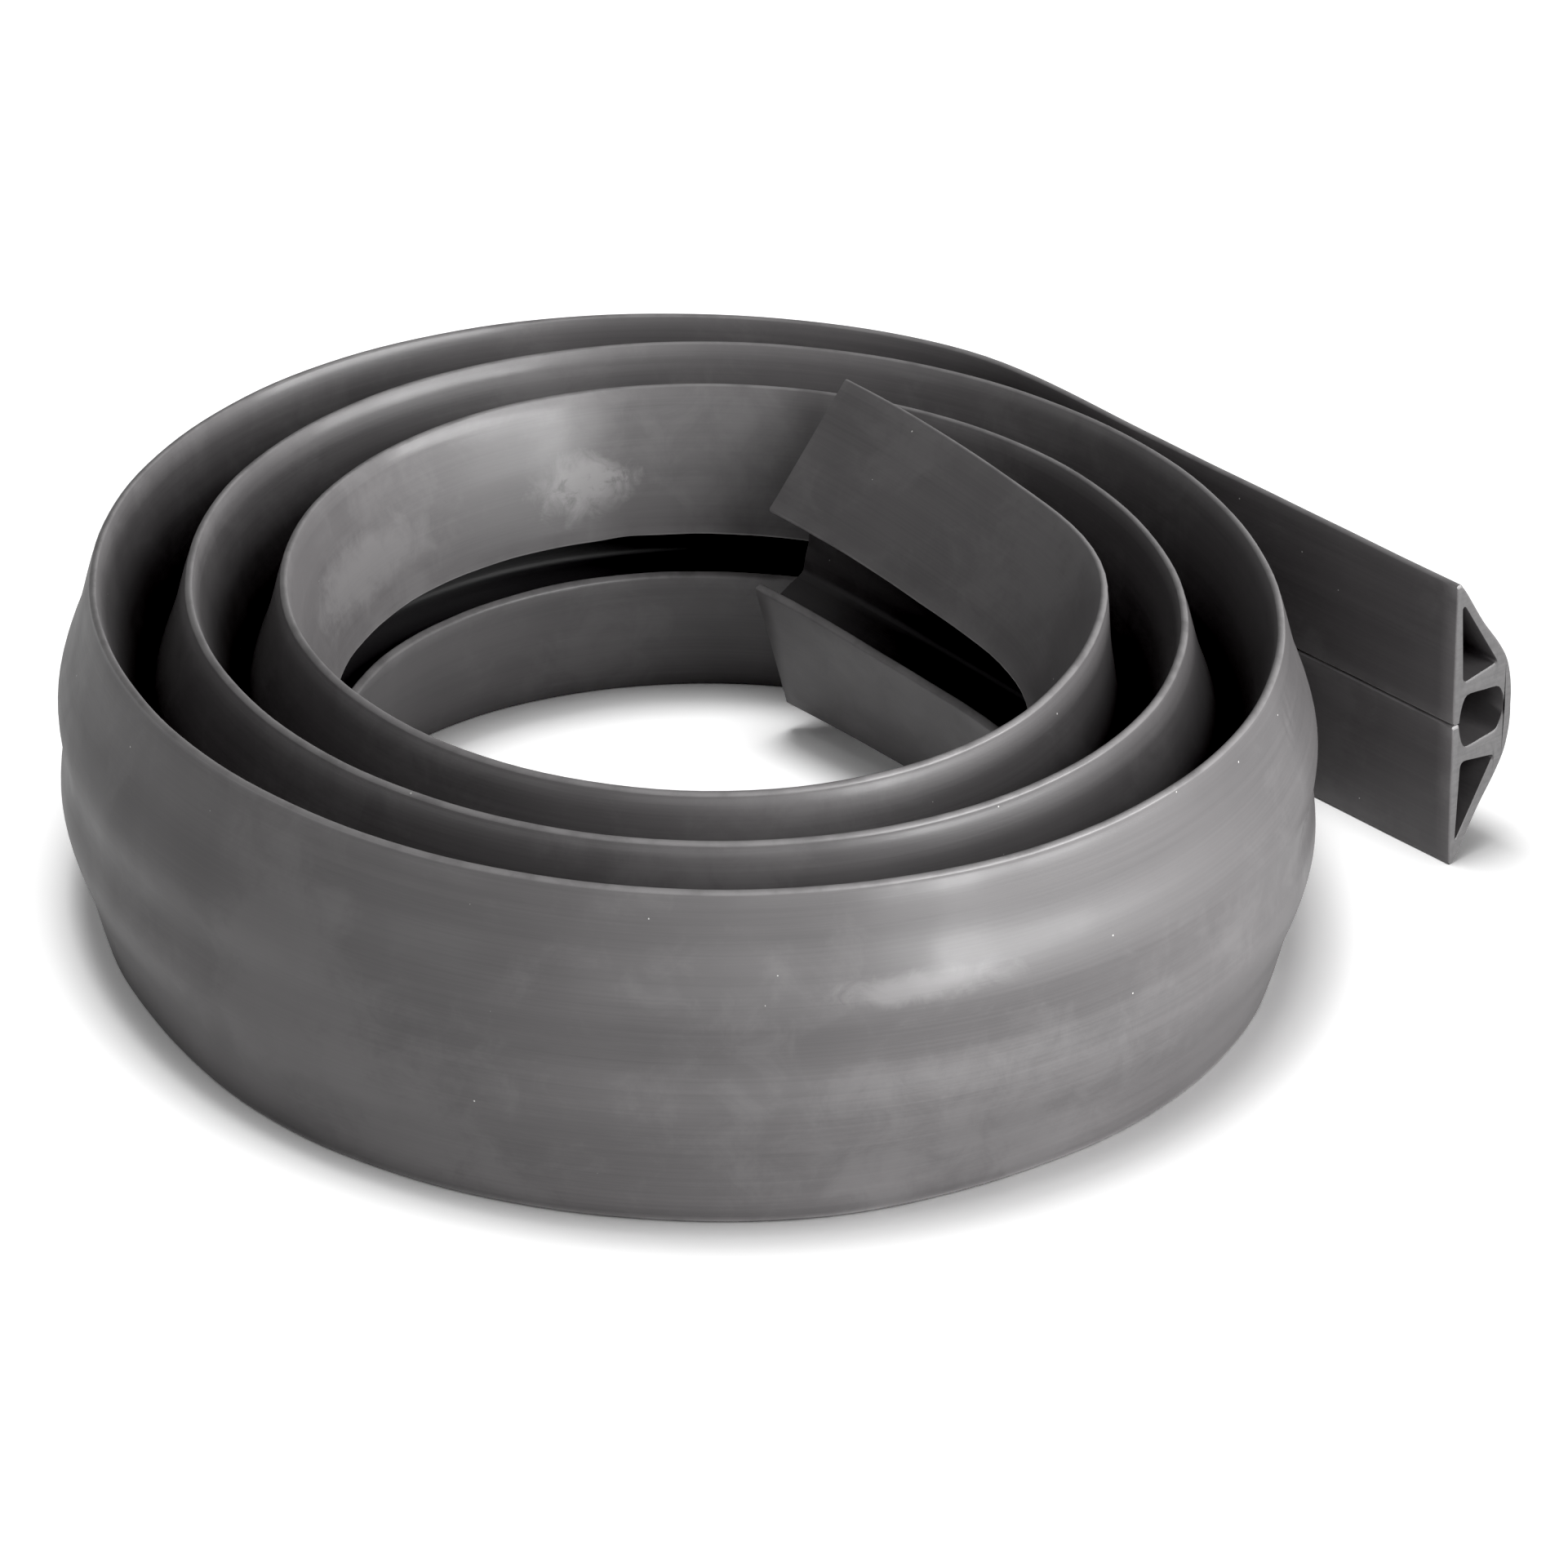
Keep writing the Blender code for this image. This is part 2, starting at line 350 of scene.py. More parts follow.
@dataclass(frozen=True)
class Pose:
    """How the strip gapes, leans and lifts along the coil, against the coil's angle in degrees."""

    coil_opening_deg: float = 17.0
    opening_grows_deg: Pair = (23.0, 178.0)
    end_opening_deg: float = 13.5
    end_opening_grows_deg: Pair = (1000.0, 1150.0)
    end_lean_deg: float = 13.6
    end_lean_grows_deg: Pair = (1043.0, 1160.0)
    end_lift: float = 6.4 * MM
    end_lift_grows_deg: Pair = (1060.0, 1165.0)
    front_flare_deg: float = 5.5
    front_flare_grows_deg: Pair = (200.0, 234.0)
    front_flare_fades_deg: Pair = (276.0, 304.0)

    def openings(self, coil_deg: Array) -> tuple[Array, Array]:
        """How far the two halves stand out about the crown. The lower one flares more at the front.

        Args:
            coil_deg: The coil's angle at each station.

        Returns:
            Angles of the upper and of the lower half, in radians.
        """
        upper = self.coil_opening_deg * rise(coil_deg, self.opening_grows_deg)
        upper = upper + self.end_opening_deg * rise(coil_deg, self.end_opening_grows_deg)
        flare = 1.0 - rise(coil_deg, self.front_flare_fades_deg)
        flare = rise(coil_deg, self.front_flare_grows_deg) * flare
        return np.radians(upper), np.radians(upper + self.front_flare_deg * flare)

    def lean(self, coil_deg: Array) -> Array:
        """Outward lean of the whole section, in radians."""
        return np.radians(self.end_lean_deg * rise(coil_deg, self.end_lean_grows_deg))

    def lift(self, coil_deg: Array) -> Array:
        """Height of the lower tip above the floor."""
        return self.end_lift * rise(coil_deg, self.end_lift_grows_deg)


@dataclass(frozen=True)
class Wrinkle:
    """A few small folds or one dent pressed into the skin, at a run along and a way round the strip.

    The slant turns its length from the strip's run. Folds counts the folds in its width, and 0 makes a dent.
    """

    run: float
    way: float
    length: float
    width: float
    slant_deg: float
    depth: float
    folds: float = 0.0

    def push(self, run: Array, way: Array) -> Array:
        """Outward push: a bell in both directions times the cosine of the distance across the folds.

        Args:
            run: Run of each station, as a column.
            way: Way round the section of each point, as a row.

        Returns:
            One push for each station and point.
        """
        slant = math.radians(self.slant_deg)
        along = (run - self.run) * math.cos(slant) + (way - self.way) * math.sin(slant)
        across = (way - self.way) * math.cos(slant) - (run - self.run) * math.sin(slant)
        bell = np.exp(-((along / self.length) ** 2) - (across / self.width) ** 2)
        return self.depth * bell * np.cos(2 * math.pi * self.folds * across / self.width)


@dataclass(frozen=True)
class HandMadeShape:
    """The small unevenness of the real strip: wavering thin edges, wrinkles, dents and a long crease."""

    tip_waver: float = 0.16 * MM
    tip_reach: float = 6.0 * MM
    lip_waver: float = 0.22 * MM
    lip_reach: float = 2.5 * MM
    waves: tuple[Wave, ...] = ((0.47, 0.113, 0.4), (0.33, 0.061, 2.1), (0.2, 0.027, 4.0))
    wrinkles: tuple[Wrinkle, ...] = (
        Wrinkle(0.7460, 0.0245, 9.0 * MM, 2.2 * MM, 38.0, 0.24 * MM, 0.9),
        Wrinkle(0.7490, 0.0060, 8.0 * MM, 2.6 * MM, 52.0, 0.20 * MM, 0.8),
        Wrinkle(0.7180, 0.0200, 14.0 * MM, 5.0 * MM, 20.0, 0.10 * MM, 0.6),
        Wrinkle(0.4080, 0.0285, 7.0 * MM, 4.0 * MM, 75.0, -0.18 * MM),
        Wrinkle(0.5150, 0.0060, 22.0 * MM, 9.0 * MM, 60.0, -0.14 * MM),
        Wrinkle(0.5600, -0.0130, 26.0 * MM, 12.0 * MM, 35.0, 0.12 * MM),
        Wrinkle(0.6900, -0.0100, 24.0 * MM, 6.0 * MM, 8.0, 0.10 * MM),
        Wrinkle(1.6197, 0.0690, 5.0 * MM, 3.0 * MM, 0.0, -0.30 * MM),
        Wrinkle(1.6350, -0.0690, 8.0 * MM, 2.4 * MM, 0.0, 0.25 * MM),
    )
    crease_height: float = 21.7 * MM
    crease_width: float = 1.1 * MM
    crease_depth: float = 0.07 * MM
    crease_run: Pair = (1.50, 1.70)
    crease_fade: float = 40.0 * MM
    base_within: float = 0.05 * MM
    lip_within: float = 2.1 * MM
    tip_stagger: float = 0.31
    lip_stagger: float = 0.13
    lip_pace: float = 1.7

    def wavering(self, run: Array) -> Array:
        """Sum of three sines along the run, each with its own share, length and phase."""
        share, length, phase = np.array(self.waves).T[:, :, None, None]
        return (share * np.sin(2 * math.pi * run / length + phase)).sum(axis=0)

    def applied(self, loop: Array, flat: Array, run: Array, way: Array, width: float) -> Array:
        """Moves the outline by all of these, along its own normals or sideways at the thin edges.

        Args:
            loop: Opened outline: station, point and (height, depth).
            flat: The flat section's outline, rows of (height, depth).
            run: Run of each station.
            way: Signed way round the section of each point.
            width: The strip's width.

        Returns:
            The uneven outline.
        """
        column, height = run[:, None], np.abs(flat[:, 0])
        push = sum(wrinkle.push(column, way[None]) for wrinkle in self.wrinkles)
        on_base = (flat[:, 1] < self.base_within) & (flat[:, 0] > 0)
        groove = np.exp(-(((height - self.crease_height) / self.crease_width) ** 2)) * on_base
        crease_start, crease_end = self.crease_run
        fade = rise(run, (crease_start, crease_start + self.crease_fade))
        fade = fade * (1.0 - rise(run, (crease_end - self.crease_fade, crease_end)))
        push = push - self.crease_depth * groove[None] * fade[:, None]
        side = np.sign(flat[:, 0])
        tip = rise(height, (width / 2 - self.tip_reach, width / 2)) * self.tip_waver
        lip = (1.0 - rise(height, (0.0, self.lip_reach))) * (flat[:, 1] < self.lip_within) * self.lip_waver
        sideways = tip * self.wavering(column + self.tip_stagger * side)
        sideways = sideways + lip * self.wavering(column * self.lip_pace + self.lip_stagger * side)
        return loop + normals(loop) * push[:, :, None] + np.stack([np.zeros_like(sideways), sideways], axis=2)


class Loop(Enum):
    """The three closed loops of the section."""

    OUTLINE = 0
    UPPER_CHANNEL = 1
    LOWER_CHANNEL = 2


@dataclass
class RacewayStrip:
    """The one extruded piece, as a smooth skin carried along the coil."""

    section: StripSection = StripSection()
    route: CoilRoute = CoilRoute()
    pose: Pose = Pose()
    shape: HandMadeShape = HandMadeShape()
    spacing: float = 4.6 * MM
    fine_spacing: float = 1.25 * MM
    fine_runs: tuple[Pair, ...] = ((0.700, 0.775), (1.600, 1.650))
    end_chamfer: float = 0.3 * MM
    sharp_deg: float = 50.0
    # Reach of the pale wear on the wing tips, which also paints their rim highlight.
    tip_wear_and_highlight: Pair = (0.1 * MM, 0.7 * MM)
    slit_wear: Pair = (0.3 * MM, 0.9 * MM)
    slit_wear_depth: float = 3.0 * MM
    # Over this reach from each end the painted channel shade weakens by this share.
    mouth_reach: float = 45.0 * MM
    mouth_share: float = 0.6
    centre_shift: Array = field(default_factory=lambda: np.zeros(3))

    def loops(self, upper_angle: Array, lower_angle: Array) -> dict[Loop, Array]:
        """The section's loops at every station. Height counts from their lowest point.

        Depth counts from the path, which runs through the upper tip at the section's path depth.

        Args:
            upper_angle: Opening angle of the upper half at each station, in radians.
            lower_angle: The same for the lower half.

        Returns:
            For each loop, an array of station, point and (height, depth).
        """
        flip = np.array([-1.0, 1.0])
        half, hole = self.section.half_outline(), self.section.half_hole()
        upper, upper_hole = self.section.opened(half, upper_angle), self.section.opened(hole, upper_angle)
        lower = self.section.opened(half, lower_angle) * flip
        lower_hole = (self.section.opened(hole, lower_angle) * flip)[:, ::-1]
        outline = np.concatenate([upper, lower[:, -2:0:-1]], axis=1)
        path_point = np.array([[self.section.width / 2, self.section.path_depth]])
        line = self.section.opened(path_point, upper_angle)
        seat = np.stack([outline[:, :, 0].min(axis=1), line[:, 0, 1]], axis=1)[:, None]
        found = {Loop.OUTLINE: outline, Loop.UPPER_CHANNEL: upper_hole, Loop.LOWER_CHANNEL: lower_hole}
        return {name: loop - seat for name, loop in found.items()}

    def chamfered(self, loop: Array, name: Loop) -> Array:
        """Moves the first and last ring of a loop into the rubber by the chamfer, along the loop's normals.

        Args:
            loop: Array of station, point and (height, depth).
            name: Which loop it is. The rubber is inside the outline and outside the channels.

        Returns:
            The loop with its two end rings moved.
        """
        moved = loop.copy()
        into_rubber = self.end_chamfer if name is Loop.OUTLINE else -self.end_chamfer
        moved[[0, -1]] -= normals(loop)[[0, -1]] * into_rubber
        return moved

    def stood(self, loop: Array, plan: Array, heading: Array, lean: Array) -> Array:
        """Stands a loop at every station: leaned over and turned square to the path.

        Args:
            loop: Array of station, point and (height, depth).
            plan: Plan point of each station.
            heading: Heading of each station.
            lean: Lean of each station.

        Returns:
            Array of station, point and (x, y, z).
        """
        height, depth = loop[:, :, 0], loop[:, :, 1]
        cos, sin = np.cos(lean)[:, None], np.sin(lean)[:, None]
        up, out = height * cos - depth * sin, height * sin + depth * cos
        outward = np.stack([np.sin(heading), -np.cos(heading)], axis=1)
        ground = plan[:, None] + out[:, :, None] * outward[:, None]
        return np.concatenate([ground, up[:, :, None]], axis=2)

    @staticmethod
    def way_round(loop: Array) -> Array:
        """Signed way round a closed loop from its first point: positive on the first half, then negative."""
        sides = np.linalg.norm(np.diff(loop, axis=0, append=loop[:1]), axis=1)
        way = np.concatenate([[0.0], np.cumsum(sides)[:-1]])
        return np.where(np.arange(len(way)) > len(way) // 2, way - sides.sum(), way)

    def runs(self, length: float) -> Array:
        """Stations along the strip: even, closer together where the wrinkles are, and one inside each end."""
        even = np.linspace(0.0, length, round(length / self.spacing) + 1)
        fine = [np.arange(*stretch, self.fine_spacing) for stretch in self.fine_runs]
        for start, end in self.fine_runs:
            even = even[(even < start - self.fine_spacing) | (even > end + self.fine_spacing)]
        return np.sort(np.concatenate([even, *fine, [self.end_chamfer, length - self.end_chamfer]]))

    def build(self) -> bpy.types.Object:
        """Makes the skin's mesh with its UV map, its masks and its two finishes.

        Returns:
            The strip's object, in the CAD frame.
        """
        run, plan, heading, coil_deg = self.route.stations(self.runs)
        lean, lift = self.pose.lean(coil_deg), self.pose.lift(coil_deg)
        flat = self.loops(np.zeros(1), np.zeros(1))
        way = {name: self.way_round(loop[0]) for name, loop in flat.items()}
        loops = self.loops(*self.pose.openings(coil_deg))
        middle_line = flat[Loop.OUTLINE][0] - flat[Loop.OUTLINE][0, :1] * [1.0, 0.0]
        loops[Loop.OUTLINE] = self.shape.applied(
            loops[Loop.OUTLINE], middle_line, run, way[Loop.OUTLINE], self.section.width
        )
        ended = [self.chamfered(loop, name) for name, loop in loops.items()]
        stood = [self.stood(loop, plan, heading, lean) for loop in ended]
        rings = np.concatenate(stood, axis=1)
        rings[:, :, 2] += (lift - stood[0][:, :, 2].min(axis=1))[:, None]
        low, high = rings.reshape(-1, 3).min(axis=0), rings.reshape(-1, 3).max(axis=0)
        self.centre_shift = -(low + high) / 2 * [1.0, 1.0, 0.0]
        rings += self.centre_shift

        sizes = [loop.shape[1] for loop in loops.values()]
        ring_count, ring_size = rings.shape[:2]
        starts = np.concatenate([[0], np.cumsum(sizes)[:-1]])
        places = zip(loops, starts, sizes)
        walls = np.concatenate([self.wall(name, start, size, rings.shape) for name, start, size in places])
        ends = [[loop[index] for loop in loops.values()] for index in (0, -1)]
        caps = self.cap(ends[0], 0, True) + self.cap(ends[1], ring_size * (ring_count - 1), False)

        mesh = bpy.data.meshes.new("raceway_strip")
        mesh.from_pydata(rings.reshape(-1, 3), [], walls.tolist() + caps)
        self.write_uv(mesh, run, np.concatenate(list(way.values())), len(walls))
        self.write_masks(mesh, run, ring_size)
        mesh.shade_smooth()
        mesh.set_sharp_from_angle(angle=math.radians(self.sharp_deg))
        on_cap = (np.arange(len(mesh.polygons)) >= len(walls)).astype(np.int32)
        for finish in (SkinFinish(), SawnFinish()):
            mesh.materials.append(finish.material())
        mesh.polygons.foreach_set("material_index", on_cap)
        strip, faces = linked("raceway_strip", mesh), len(mesh.polygons)
        LOG.info("%s: %d stations, %d faces, %.3f m long", strip.name, ring_count, faces, run[-1])
        return strip

    @staticmethod
    def wall(name: Loop, start: int, size: int, shape: tuple[int, ...]) -> Array:
        """Quads between neighbouring rings for one loop. They face out of the rubber.

        Args:
            name: Which loop it is.
            start: Index of the loop's first point in a ring.
            size: Points in the loop.
            shape: Number of rings, points in a whole ring, and 3.

        Returns:
            Rows of four point indices.
        """
        ring_count, ring_size = shape[:2]
        ring = np.arange(ring_count - 1)[:, None] * ring_size + start
        here, after = ring + np.arange(size), ring + (np.arange(size) + 1) % size
        quads = np.stack([here, after, after + ring_size, here + ring_size], axis=2).reshape(-1, 4)
        return quads[:, ::-1] if name is Loop.OUTLINE else quads

    @staticmethod
    def cap(loops: list[Array], start: int, facing_back: bool) -> list[tuple[int, ...]]:
        """Triangles that close one cut end round its channels.

        Args:
            loops: The end's loops as rows of (height, depth).
            start: Index of the end's first point.
            facing_back: Whether the end faces against the path.

        Returns:
            Triangles of point indices.
        """
        corners = np.concatenate(loops)
        found = np.array(tessellate_polygon([[Vector((*point, 0.0)) for point in loop] for loop in loops]))
        side_b = corners[found[:, 1]] - corners[found[:, 0]]
        side_c = corners[found[:, 2]] - corners[found[:, 0]]
        clockwise = side_b[:, 0] * side_c[:, 1] - side_b[:, 1] * side_c[:, 0] < 0
        turned = np.where((clockwise == facing_back)[:, None], found, found[:, ::-1])
        return [tuple(face) for face in (turned + start).tolist()]

    @staticmethod
    def write_uv(mesh: bpy.types.Mesh, run: Array, way: Array, wall_count: int) -> None:
        """UV in metres: U is the run along the strip, V the signed way round from the crown's middle.

        A wall quad whose V jumps by more than a quarter of the way round lies on the seam in the channel's
        roof, and its positive values go down by the whole way round.

        Args:
            mesh: The strip's mesh.
            run: Run of each ring.
            way: Signed way round of each point in a ring.
            wall_count: Number of wall quads, which come first.
        """
        corner = np.zeros(len(mesh.loops), np.int32)
        mesh.loops.foreach_get("vertex_index", corner)
        around = way[corner % len(way)]
        quads = around[: 4 * wall_count].reshape(-1, 4)
        jumps = np.ptp(quads, axis=1) > SEAM_JUMP * np.ptp(way)
        quads[jumps] = np.where(quads[jumps] > 0, quads[jumps] - np.ptp(way), quads[jumps])
        uv = np.stack([run[corner // len(way)], around], axis=1)
        mesh.uv_layers.new(name=UV_NAME).uv.foreach_set("vector", uv.astype(np.float32).ravel())

    def write_masks(self, mesh: bpy.types.Mesh, run: Array, ring_size: int) -> None:
        """Two point masks: 1 on the wing tips and the slit's lips, for pale wear that on the tips is also a
        painted rim highlight, and 1 on the channels' walls, for painted shade.

        The second is less near the strip's ends, where light gets into the channels.

        Args:
            mesh: The strip's mesh.
            run: Run of each ring.
            ring_size: Points in a ring.
        """
        half = self.section.half_outline()
        near_tip = 1.0 - rise(self.section.width / 2 - half[:, 0], self.tip_wear_and_highlight)
        near_slit = (1.0 - rise(half[:, 0], self.slit_wear)) * (half[:, 1] < self.slit_wear_depth)
        in_channel = np.zeros(len(half))
        in_channel[-len(self.section.channel()) :] = 1.0
        from_end = np.minimum(run, run[-1] - run)
        inside = 1.0 - self.mouth_share * (1.0 - rise(from_end, (0.0, self.mouth_reach)))
        edges, everywhere = np.maximum(near_tip, near_slit), np.ones_like(run)
        masks = ((EDGE_NAME, edges, 0.0, everywhere), (CHANNEL_SHADE_NAME, in_channel, 1.0, inside))
        for name, side, rest, along in masks:
            ring = np.full(ring_size, rest)
            ring[: 2 * len(side) - 2] = np.concatenate([side, side[-2:0:-1]])
            layer = mesh.attributes.new(name, "FLOAT", "POINT")
            layer.data.foreach_set("value", np.outer(along, ring).astype(np.float32).ravel())


@dataclass(frozen=True)
class NodeSheet:
    """One node tree, with short calls that add a node and set or join its sockets."""

    tree: bpy.types.NodeTree

    def add(self, kind: str, inputs: Inputs | None = None, **settings: object) -> bpy.types.Node:
        """Adds a node.

        Args:
            kind: Blender's name of the node.
            inputs: For each input, a socket to join it to or a plain value.
            **settings: The node's own settings.

        Returns:
            The node.
        """
        node = self.tree.nodes.new(kind)
        for name, value in settings.items():
            setattr(node, name, value)
        self.feed(node, inputs or {})
        return node

    def feed(self, node: bpy.types.Node, inputs: Inputs) -> None:
        """Joins a node's inputs to other sockets, or sets them to plain values."""
        for name, value in inputs.items():
            if isinstance(value, Socket):
                self.tree.links.new(value, node.inputs[name])
            else:
                node.inputs[name].default_value = value

    def bump(self, height: Socket, distance: float, strength: float) -> Socket:
        """Normal of a Bump node."""
        inputs = {"Height": height, "Distance": distance, "Strength": strength}
        return self.add("ShaderNodeBump", inputs).outputs["Normal"]

    def math(self, operation: str, *values: Value) -> Socket:
        """Result of a Math node on the values."""
        return self.add("ShaderNodeMath", dict(enumerate(values)), operation=operation).outputs[0]

    def vector_math(self, operation: str, *values: Value) -> Socket:
        """Result of a Vector Math node on the values: a value for a length, and else a vector."""
        node = self.add("ShaderNodeVectorMath", dict(enumerate(values)), operation=operation)
        return node.outputs["Value" if operation == "LENGTH" else "Vector"]

    def weighted(self, *parts: tuple[Socket, float]) -> Socket:
        """Sum of masks, each times its own weight."""
        total = self.math("MULTIPLY", *parts[-1])
        for mask, weight in parts[-2::-1]:
            total = self.math("MULTIPLY_ADD", mask, weight, total)
        return total

    def step(self, value: Value, start: float, end: float, low: float = 0.0, high: float = 1.0) -> Socket:
        """Smooth step of a value between two limits, to a low and a high result."""
        inputs = {"Value": value, "From Min": start, "From Max": end, "To Min": low, "To Max": high}
        return self.add("ShaderNodeMapRange", inputs, interpolation_type="SMOOTHSTEP").outputs["Result"]

    def blend(self, share: Value, first: Value, second: Value) -> Socket:
        """Colour that goes from the first to the second with the share."""
        inputs = {"Factor": share, 6: first, 7: second}
        return self.add("ShaderNodeMix", inputs, data_type="RGBA").outputs[2]

    def noise(
        self, vector: Value, scale: Value, detail: float, roughness: float, distortion: float = 0.0
    ) -> Socket:
        """Noise value at a place."""
        inputs = {"Vector": vector, "Scale": scale, "Detail": detail, "Roughness": roughness}
        return self.add("ShaderNodeTexNoise", {**inputs, "Distortion": distortion}).outputs["Fac"]


def new_material(name: str) -> tuple[bpy.types.Material, NodeSheet]:
    """A new node material, and the sheet for its tree."""
    material = bpy.data.materials.new(name)
    material.use_nodes = True
    return material, NodeSheet(material.node_tree)


class Effect(Enum):
    """Surface effects that the finishes share, each a node group with one output."""

    DRAW_STREAKS = "draw_streaks"
    CHALK_BLOOM = "chalk_bloom"
    DUST_SPECKS = "dust_specks"
    CHALK_AND_HIGHLIGHT_PATCH = "chalk_and_highlight_patch"

    def place(self, sheet: NodeSheet, **values: Value) -> Socket:
        """Puts the effect into a material.

        Args:
            sheet: The material's tree.
            **values: A value or a socket for each input of the group.

        Returns:
            The effect's mask.
        """
        group = bpy.data.node_groups.get(self.value) or self.built()
        inputs = {name.capitalize(): value for name, value in values.items()}
        return sheet.add("ShaderNodeGroup", inputs, node_tree=group).outputs["Mask"]

    def built(self) -> bpy.types.NodeTree:
        """Makes the effect's group: a vector input, its own inputs and a mask output."""
        number, vector = "NodeSocketFloat", "NodeSocketVector"
        kinds, fill = {
            Effect.DRAW_STREAKS: ({"Along": number, "Across": number}, self.streaks),
            Effect.CHALK_BLOOM: ({"Scale": number, "Cover": number}, self.bloom),
            Effect.DUST_SPECKS: ({"Scale": number, "Size": number, "Share": number}, self.specks),
            Effect.CHALK_AND_HIGHLIGHT_PATCH: ({"Centre": vector, "Reach": vector}, self.patch),
        }[self]
        group = bpy.data.node_groups.new(self.value, "ShaderNodeTree")
        group.interface.new_socket("Vector", in_out="INPUT", socket_type=vector)
        for name, kind in kinds.items():
            group.interface.new_socket(name, in_out="INPUT", socket_type=kind)
        group.interface.new_socket("Mask", in_out="OUTPUT", socket_type=number)
        sheet = NodeSheet(group)
        given = sheet.add("NodeGroupInput").outputs
        sheet.add("NodeGroupOutput", {"Mask": fill(sheet, given)})
        return group

    @staticmethod
    def streaks(sheet: NodeSheet, given: bpy.types.NodeOutputs) -> Socket:
        """Draw lines: noise on the UV, stretched along the strip."""
        stretch = sheet.add("ShaderNodeCombineXYZ", {"X": given["Along"], "Y": given["Across"]})
        place = sheet.vector_math("MULTIPLY", given["Vector"], stretch.outputs[0])
        return sheet.step(sheet.noise(place, scale=1.0, detail=4.0, roughness=0.6), start=0.33, end=0.67)

    @staticmethod
    def bloom(sheet: NodeSheet, given: bpy.types.NodeOutputs) -> Socket:
        """Chalky clouds: broad and fine noise together, above a limit that the cover sets."""
        finer, bare_limit, cover_reach = 5.3, 0.62, 0.25
        fine_scale = sheet.math("MULTIPLY", given["Scale"], finer)
        broad = sheet.noise(given["Vector"], given["Scale"], detail=2.0, roughness=0.5)
        fine = sheet.noise(given["Vector"], fine_scale, detail=6.0, roughness=0.7, distortion=0.5)
        both = sheet.weighted((fine, 0.4), (broad, 0.6))
        limit = sheet.math("SUBTRACT", bare_limit, sheet.math("MULTIPLY", given["Cover"], cover_reach))
        return sheet.step(sheet.math("SUBTRACT", both, limit), start=-0.05, end=0.09)

    @staticmethod
    def specks(sheet: NodeSheet, given: bpy.types.NodeOutputs) -> Socket:
        """Dust: small dots round the points of a cell pattern, on the share of cells with a low red."""
        cells = sheet.add("ShaderNodeTexVoronoi", {"Vector": given["Vector"], "Scale": given["Scale"]})
        colour = sheet.add("ShaderNodeSeparateColor", {"Color": cells.outputs["Color"]})
        size = sheet.math("MULTIPLY", given["Size"], colour.outputs[1])
        dot = sheet.math("LESS_THAN", cells.outputs["Distance"], size)
        return sheet.math("MULTIPLY", dot, sheet.math("LESS_THAN", colour.outputs[0], given["Share"]))

    @staticmethod
    def patch(sheet: NodeSheet, given: bpy.types.NodeOutputs) -> Socket:
        """A soft oval: 1 at the centre and 0 at the reach, with a ragged rim."""
        rag_depth = 1.1
        off = sheet.vector_math("SUBTRACT", given["Vector"], given["Centre"])
        far = sheet.vector_math("LENGTH", sheet.vector_math("DIVIDE", off, given["Reach"]))
        rag = sheet.noise(given["Vector"], scale=170.0, detail=5.0, roughness=0.65, distortion=0.8)
        return sheet.step(sheet.math("MULTIPLY_ADD", rag, rag_depth, far), start=1.45, end=0.75)


